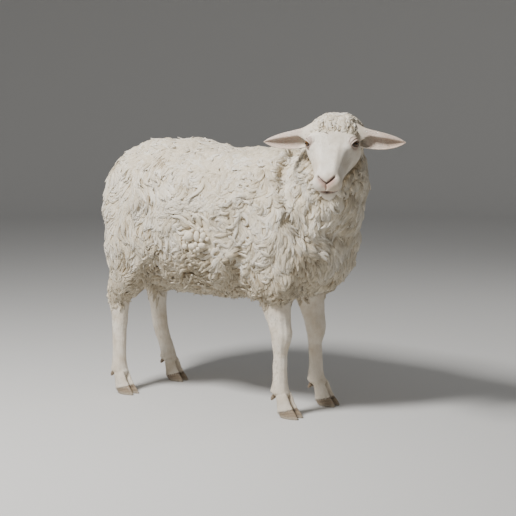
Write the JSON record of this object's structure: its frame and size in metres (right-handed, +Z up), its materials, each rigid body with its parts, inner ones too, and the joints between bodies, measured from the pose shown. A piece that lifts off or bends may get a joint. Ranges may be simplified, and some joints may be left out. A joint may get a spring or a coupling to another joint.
{
  "type": "sheep",
  "caption": "Life-size model of a standing sheep in a short fleece, head turned to its right, resting on its hooves.",
  "frame": {"origin": "on the floor, under the middle of the box around the whole animal", "axes": "+Z up, -Y the way the body points (towards the chest), +X the animal's left side"},
  "size_m": [0.4196, 0.9536, 0.7925],
  "materials": {
    "fleece": "matt off-white wool",
    "short_hair": "matt short hair over skin",
    "hoof_horn": "satin horn",
    "eyeball": "wet gloss"
  },
  "bodies": {
    "root": {"trunk": "fleece", "neck": "fleece", "tail": "fleece", "head": "short_hair", "forearm_left": "fleece", "forearm_right": "fleece", "thigh_left": "fleece", "thigh_right": "fleece", "shank_fore_left": "short_hair", "shank_fore_right": "short_hair", "shank_hind_left": "short_hair", "shank_hind_right": "short_hair", "ear_left": "short_hair", "ear_right": "short_hair", "eye_left": "eyeball", "eye_right": "eyeball", "claw_fore_left_inner": "hoof_horn", "claw_fore_left_outer": "hoof_horn", "claw_fore_right_inner": "hoof_horn", "claw_fore_right_outer": "hoof_horn", "claw_hind_left_inner": "hoof_horn", "claw_hind_left_outer": "hoof_horn", "claw_hind_right_inner": "hoof_horn", "claw_hind_right_outer": "hoof_horn", "dewclaw_fore_left_inner": "hoof_horn", "dewclaw_fore_left_outer": "hoof_horn", "dewclaw_fore_right_inner": "hoof_horn", "dewclaw_fore_right_outer": "hoof_horn", "dewclaw_hind_left_inner": "hoof_horn", "dewclaw_hind_left_outer": "hoof_horn", "dewclaw_hind_right_inner": "hoof_horn", "dewclaw_hind_right_outer": "hoof_horn"}
  },
  "joints": []
}
